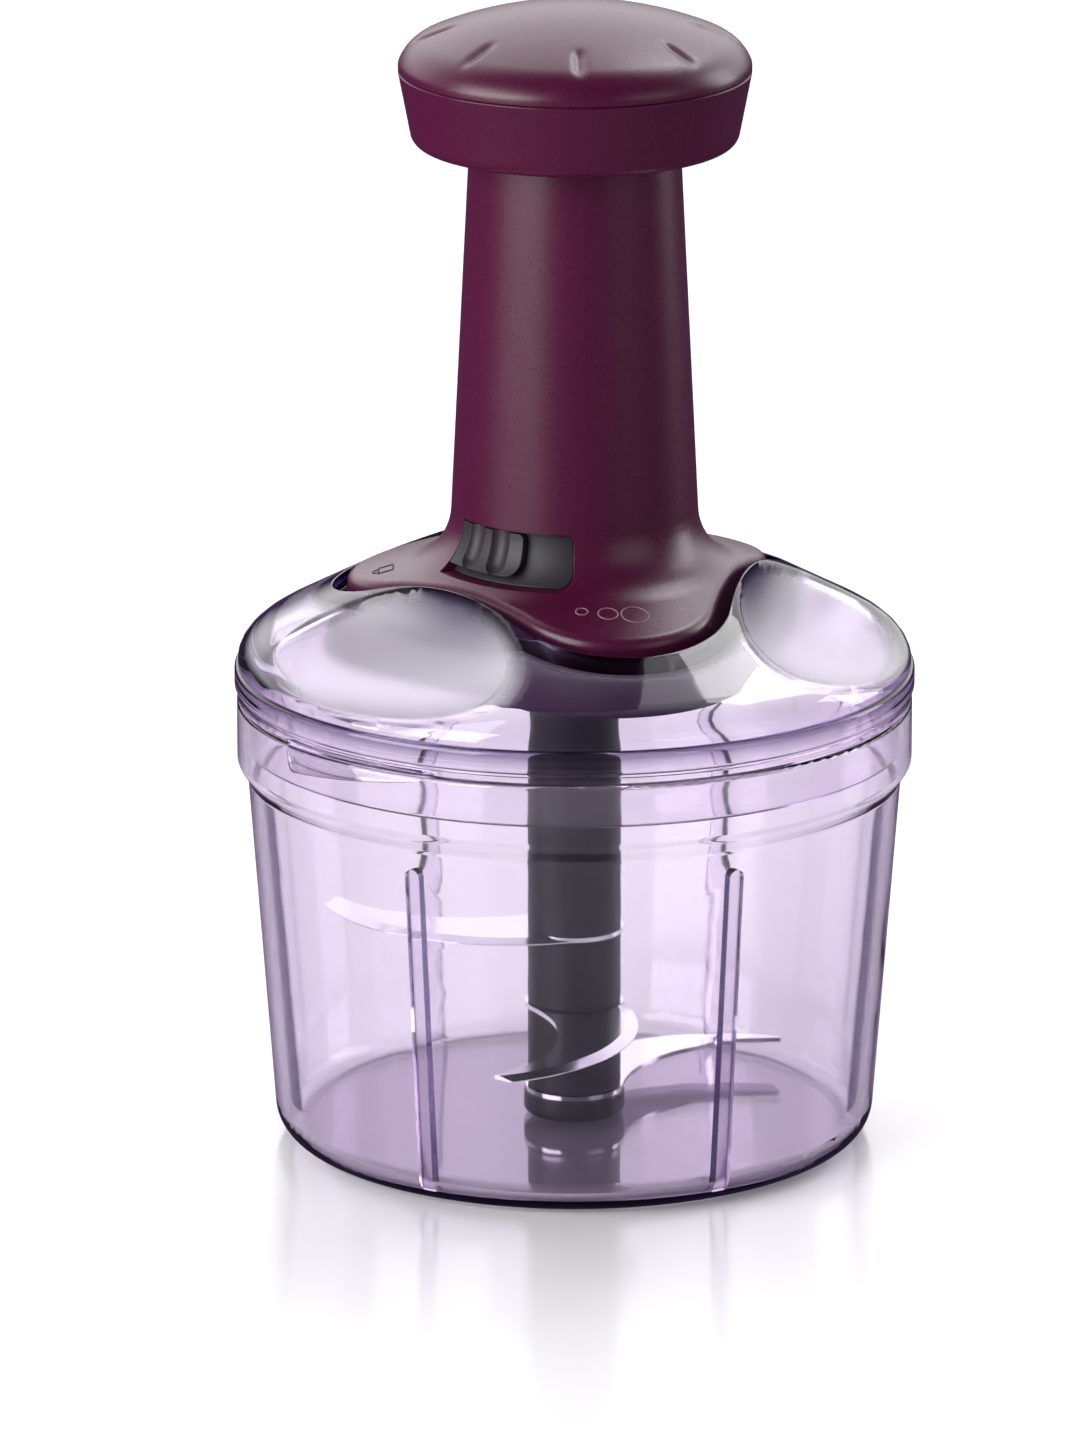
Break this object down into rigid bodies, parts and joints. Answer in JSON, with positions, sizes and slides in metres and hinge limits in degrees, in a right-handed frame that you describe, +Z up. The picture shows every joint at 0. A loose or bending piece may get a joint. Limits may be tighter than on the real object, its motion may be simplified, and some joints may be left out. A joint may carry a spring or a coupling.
{
  "type": "push food chopper",
  "caption": "Hand push chopper: a press cap on a tower turns stacked curved blades in a clear ribbed bowl under a scooped lid, with a slide lock.",
  "frame": {"origin": "centre of the bowl's underside, on the surface that the chopper stands on", "axes": "+Z up along the turning axis of the blades, -Y towards the viewer of the picture, +X to the right"},
  "size_m": [0.15, 0.15, 0.2545],
  "materials": {
    "clear_lavender": "clear tinted moulding, polished",
    "plum_plastic": "soft matte with a fine grain",
    "dark_plastic": "satin moulding",
    "bearing_plastic": "plain slippery moulding",
    "blade_steel": "ground stainless",
    "plain_steel": "drawn steel"
  },
  "bodies": {
    "bowl": {"bowl": "clear_lavender", "bowl_pivot_pin": "plain_steel"},
    "lid": {"lid": "clear_lavender", "tower_housing": "plum_plastic", "base_plate": "plum_plastic", "base_screws": "plain_steel", "drive_bush": "bearing_plastic", "thrust_washer": "plain_steel", "spring_seat": "plain_steel", "return_spring": "plain_steel", "guide_sleeve": "bearing_plastic", "lock_track": "dark_plastic"},
    "handle": {"cap_dome": "plum_plastic", "cap_skirt": "plum_plastic", "plunger_tube": "dark_plastic", "cap_screws": "plain_steel", "drive_nut": "bearing_plastic", "nut_ring": "bearing_plastic"},
    "drive": {"drive_rod": "plain_steel", "drive_coupling": "dark_plastic", "coupling_pin": "plain_steel"},
    "lock": {"lock_slider": "dark_plastic"},
    "blades": {"blade_stem": "dark_plastic", "upper_blade": "blade_steel", "upper_spacer": "dark_plastic", "middle_blade": "blade_steel", "lower_spacer": "dark_plastic", "lower_blade": "blade_steel", "stem_foot": "dark_plastic"}
  },
  "joints": [
    {"name": "lid_lift", "type": "slide", "parent": "bowl", "child": "lid", "axis": [0, 0, 1], "range_m": [0, 0.12]},
    {"name": "handle_press", "type": "slide", "parent": "lid", "child": "handle", "axis": [0, 0, -1], "range_m": [0, 0.0225], "stiffness_N_per_m": 300, "springref_m": -0.02, "deforming": ["return_spring"]},
    {"name": "drive_turn", "type": "hinge", "parent": "lid", "child": "drive", "pos_m": [0, 0, 0.11], "axis": [0, 0, 1], "range_deg": [0, 270.5]},
    {"name": "blade_turn", "type": "hinge", "parent": "bowl", "child": "blades", "pos_m": [0, 0, 0.01], "axis": [0, 0, 1], "range_deg": [0, 270.5]},
    {"name": "lock_turn", "type": "hinge", "parent": "lid", "child": "lock", "pos_m": [0, 0, 0.137], "axis": [0, 0, 1], "range_deg": [0, 22]}
  ],
  "couplings": [
    {"joint": "drive_turn", "follows": "handle_press", "rad_per_m": 209.44},
    {"joint": "blade_turn", "follows": "handle_press", "rad_per_m": 209.44}
  ]
}
